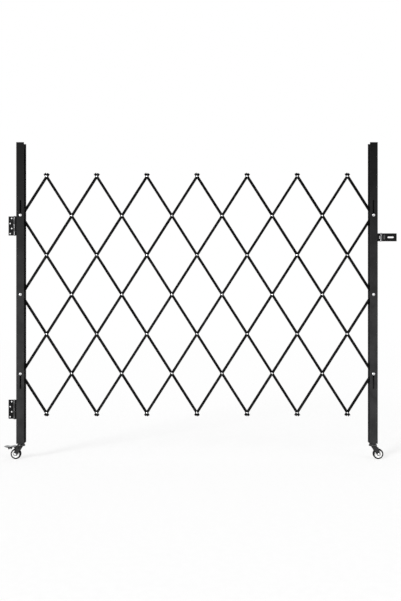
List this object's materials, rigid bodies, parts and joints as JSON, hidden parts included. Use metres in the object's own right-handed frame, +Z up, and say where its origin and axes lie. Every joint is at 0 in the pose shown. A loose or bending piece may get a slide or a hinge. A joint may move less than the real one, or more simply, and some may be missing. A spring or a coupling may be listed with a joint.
{
  "type": "folding security gate",
  "caption": "Steel scissor gate: two channel posts on casters joined by a riveted lattice that folds sideways, hung on butt hinges and shut by a slotted hasp.",
  "frame": {"origin": "on the floor, under the middle of the gate's outline, in the lattice's mid-plane", "axes": "+X along the gate from the hinged post to the free post, -Y to the front, +Z up"},
  "size_m": [1.8928, 0.0531, 1.524],
  "materials": {
    "black_powder_coat": "satin black powder coat",
    "black_plating": "semi-gloss black",
    "zinc_plate": "bright zinc plate",
    "pale_nylon": "moulded, pale",
    "black_rubber": "matte black"
  },
  "bodies": {
    "wall": {"wall_leaf_upper": "black_plating", "wall_leaf_lower": "black_plating", "hinge_pin_upper": "black_plating", "hinge_pin_lower": "black_plating"},
    "left_post": {"left_post": "black_powder_coat", "post_leaf_upper": "black_plating", "post_leaf_lower": "black_plating", "pivot_bolt_left_middle": "zinc_plate", "pivot_nut_left_middle": "zinc_plate", "caster_bracket_left": "black_powder_coat", "caster_stem_left": "zinc_plate", "stem_nut_left": "zinc_plate"},
    "rear_bar_02": {"rear_bar_02": "black_powder_coat"},
    "front_bar_02": {"front_bar_02": "black_powder_coat"},
    "front_bar_03": {"front_bar_03": "black_powder_coat", "pivot_bolt_left_upper": "zinc_plate", "pivot_nut_left_upper": "zinc_plate"},
    "front_bar_04": {"front_bar_04": "black_powder_coat"},
    "front_bar_05": {"front_bar_05": "black_powder_coat"},
    "rear_bar_03": {"rear_bar_03": "black_powder_coat", "pivot_bolt_left_lower": "zinc_plate", "pivot_nut_left_lower": "zinc_plate"},
    "rear_bar_04": {"rear_bar_04": "black_powder_coat"},
    "rear_bar_05": {"rear_bar_05": "black_powder_coat"},
    "rear_bar_01": {"rear_bar_01": "black_powder_coat"},
    "front_bar_01": {"front_bar_01": "black_powder_coat"},
    "rear_bar_06": {"rear_bar_06": "black_powder_coat"},
    "rear_bar_07": {"rear_bar_07": "black_powder_coat"},
    "rear_bar_08": {"rear_bar_08": "black_powder_coat", "pivot_bolt_right_upper": "zinc_plate", "pivot_nut_right_upper": "zinc_plate"},
    "front_bar_06": {"front_bar_06": "black_powder_coat"},
    "front_bar_07": {"front_bar_07": "black_powder_coat"},
    "front_bar_08": {"front_bar_08": "black_powder_coat", "pivot_bolt_right_lower": "zinc_plate", "pivot_nut_right_lower": "zinc_plate"},
    "front_bar_09": {"front_bar_09": "black_powder_coat"},
    "front_bar_10": {"front_bar_10": "black_powder_coat"},
    "rear_bar_09": {"rear_bar_09": "black_powder_coat"},
    "rear_bar_10": {"rear_bar_10": "black_powder_coat"},
    "right_post": {"right_post": "black_powder_coat", "pivot_bolt_right_middle": "zinc_plate", "pivot_nut_right_middle": "zinc_plate", "hasp_base": "black_plating", "hasp_pin": "black_plating", "caster_bracket_right": "black_powder_coat", "caster_stem_right": "zinc_plate", "stem_nut_right": "zinc_plate"},
    "hasp_strap": {"hasp_strap": "black_plating"},
    "caster_left": {"caster_fork_left": "black_powder_coat", "axle_bolt_left": "zinc_plate", "brake_pin": "zinc_plate"},
    "caster_right": {"caster_fork_right": "black_powder_coat", "axle_bolt_right": "zinc_plate"},
    "wheel_left": {"wheel_hub_left": "pale_nylon", "wheel_tyre_left": "black_rubber"},
    "wheel_right": {"wheel_hub_right": "pale_nylon", "wheel_tyre_right": "black_rubber"},
    "brake_pedal": {"brake_pedal": "zinc_plate"}
  },
  "joints": [
    {"name": "gate_swing", "type": "hinge", "parent": "wall", "child": "left_post", "pos_m": [-0.88972, -0.017, 0.793], "axis": [0, 0, -1], "range_deg": [0, 160]},
    {"name": "fold", "type": "hinge", "parent": "left_post", "child": "rear_bar_02", "pos_m": [-0.86191, 0, 0.793], "axis": [0, -1, 0], "range_deg": [0, 27.4]},
    {"name": "front_bar_02_turn", "type": "hinge", "parent": "left_post", "child": "front_bar_02", "pos_m": [-0.86191, 0, 0.793], "axis": [0, -1, 0], "range_deg": [-27.4, 0]},
    {"name": "front_bar_03_turn", "type": "hinge", "parent": "rear_bar_02", "child": "front_bar_03", "pos_m": [-0.74092, 0, 0.98329], "axis": [0, -1, 0], "range_deg": [-54.8, 0]},
    {"name": "front_bar_04_turn", "type": "hinge", "parent": "rear_bar_02", "child": "front_bar_04", "pos_m": [-0.61992, 0, 1.17358], "axis": [0, -1, 0], "range_deg": [-54.8, 0]},
    {"name": "front_bar_05_turn", "type": "hinge", "parent": "rear_bar_02", "child": "front_bar_05", "pos_m": [-0.49893, 0, 1.36387], "axis": [0, -1, 0], "range_deg": [-54.8, 0]},
    {"name": "rear_bar_03_turn", "type": "hinge", "parent": "front_bar_02", "child": "rear_bar_03", "pos_m": [-0.74092, 0, 0.60271], "axis": [0, -1, 0], "range_deg": [0, 54.8]},
    {"name": "rear_bar_04_turn", "type": "hinge", "parent": "front_bar_02", "child": "rear_bar_04", "pos_m": [-0.61992, 0, 0.41242], "axis": [0, -1, 0], "range_deg": [0, 54.8]},
    {"name": "rear_bar_05_turn", "type": "hinge", "parent": "front_bar_02", "child": "rear_bar_05", "pos_m": [-0.49893, 0, 0.22213], "axis": [0, -1, 0], "range_deg": [0, 54.8]},
    {"name": "rear_bar_01_turn", "type": "hinge", "parent": "front_bar_04", "child": "rear_bar_01", "pos_m": [-0.74092, 0, 1.36387], "axis": [0, -1, 0], "range_deg": [0, 54.8]},
    {"name": "front_bar_01_turn", "type": "hinge", "parent": "rear_bar_04", "child": "front_bar_01", "pos_m": [-0.74092, 0, 0.22213], "axis": [0, -1, 0], "range_deg": [-54.8, 0]},
    {"name": "rear_bar_06_turn", "type": "hinge", "parent": "front_bar_05", "child": "rear_bar_06", "pos_m": [-0.01495, 0, 0.60271], "axis": [0, -1, 0], "range_deg": [0, 54.8]},
    {"name": "rear_bar_07_turn", "type": "hinge", "parent": "front_bar_05", "child": "rear_bar_07", "pos_m": [0.10605, 0, 0.41242], "axis": [0, -1, 0], "range_deg": [0, 54.8]},
    {"name": "rear_bar_08_turn", "type": "hinge", "parent": "front_bar_05", "child": "rear_bar_08", "pos_m": [0.22704, 0, 0.22213], "axis": [0, -1, 0], "range_deg": [0, 54.8]},
    {"name": "front_bar_06_turn", "type": "hinge", "parent": "rear_bar_05", "child": "front_bar_06", "pos_m": [-0.01495, 0, 0.98329], "axis": [0, -1, 0], "range_deg": [-54.8, 0]},
    {"name": "front_bar_07_turn", "type": "hinge", "parent": "rear_bar_05", "child": "front_bar_07", "pos_m": [0.10605, 0, 1.17358], "axis": [0, -1, 0], "range_deg": [-54.8, 0]},
    {"name": "front_bar_08_turn", "type": "hinge", "parent": "rear_bar_05", "child": "front_bar_08", "pos_m": [0.22704, 0, 1.36387], "axis": [0, -1, 0], "range_deg": [-54.8, 0]},
    {"name": "front_bar_09_turn", "type": "hinge", "parent": "rear_bar_08", "child": "front_bar_09", "pos_m": [0.71102, 0, 0.98329], "axis": [0, -1, 0], "range_deg": [-54.8, 0]},
    {"name": "front_bar_10_turn", "type": "hinge", "parent": "rear_bar_08", "child": "front_bar_10", "pos_m": [0.83201, 0, 1.17358], "axis": [0, -1, 0], "range_deg": [-54.8, 0]},
    {"name": "rear_bar_09_turn", "type": "hinge", "parent": "front_bar_08", "child": "rear_bar_09", "pos_m": [0.71102, 0, 0.60271], "axis": [0, -1, 0], "range_deg": [0, 54.8]},
    {"name": "rear_bar_10_turn", "type": "hinge", "parent": "front_bar_08", "child": "rear_bar_10", "pos_m": [0.83201, 0, 0.41242], "axis": [0, -1, 0], "range_deg": [0, 54.8]},
    {"name": "right_post_turn", "type": "hinge", "parent": "front_bar_09", "child": "right_post", "pos_m": [0.83201, 0, 0.793], "axis": [0, -1, 0], "range_deg": [0, 27.4]},
    {"name": "hasp_swing", "type": "hinge", "parent": "right_post", "child": "hasp_strap", "pos_m": [0.86952, -0.013, 1.0685], "axis": [0, 0, -1], "range_deg": [-85, 150]},
    {"name": "caster_left_swivel", "type": "hinge", "parent": "left_post", "child": "caster_left", "pos_m": [-0.86391, 0, 0.0639], "axis": [0, 0, 1], "continuous": true},
    {"name": "caster_right_swivel", "type": "hinge", "parent": "right_post", "child": "caster_right", "pos_m": [0.83401, 0, 0.0639], "axis": [0, 0, 1], "continuous": true},
    {"name": "wheel_left_spin", "type": "hinge", "parent": "caster_left", "child": "wheel_left", "pos_m": [-0.88841, 0, 0.025], "axis": [0, 1, 0], "continuous": true},
    {"name": "wheel_right_spin", "type": "hinge", "parent": "caster_right", "child": "wheel_right", "pos_m": [0.85852, 0, 0.025], "axis": [0, 1, 0], "continuous": true},
    {"name": "brake_pedal_press", "type": "hinge", "parent": "caster_left", "child": "brake_pedal", "pos_m": [-0.87191, 0, 0.0555], "axis": [0, -1, 0], "range_deg": [0, 10]}
  ],
  "couplings": [
    {"joint": "front_bar_02_turn", "follows": "fold", "ratio": -1},
    {"joint": "front_bar_03_turn", "follows": "fold", "ratio": -2},
    {"joint": "front_bar_04_turn", "follows": "fold", "ratio": -2},
    {"joint": "front_bar_05_turn", "follows": "fold", "ratio": -2},
    {"joint": "rear_bar_03_turn", "follows": "fold", "ratio": 2},
    {"joint": "rear_bar_04_turn", "follows": "fold", "ratio": 2},
    {"joint": "rear_bar_05_turn", "follows": "fold", "ratio": 2},
    {"joint": "rear_bar_01_turn", "follows": "fold", "ratio": 2},
    {"joint": "front_bar_01_turn", "follows": "fold", "ratio": -2},
    {"joint": "rear_bar_06_turn", "follows": "fold", "ratio": 2},
    {"joint": "rear_bar_07_turn", "follows": "fold", "ratio": 2},
    {"joint": "rear_bar_08_turn", "follows": "fold", "ratio": 2},
    {"joint": "front_bar_06_turn", "follows": "fold", "ratio": -2},
    {"joint": "front_bar_07_turn", "follows": "fold", "ratio": -2},
    {"joint": "front_bar_08_turn", "follows": "fold", "ratio": -2},
    {"joint": "front_bar_09_turn", "follows": "fold", "ratio": -2},
    {"joint": "front_bar_10_turn", "follows": "fold", "ratio": -2},
    {"joint": "rear_bar_09_turn", "follows": "fold", "ratio": 2},
    {"joint": "rear_bar_10_turn", "follows": "fold", "ratio": 2},
    {"joint": "right_post_turn", "follows": "fold", "ratio": 1}
  ]
}
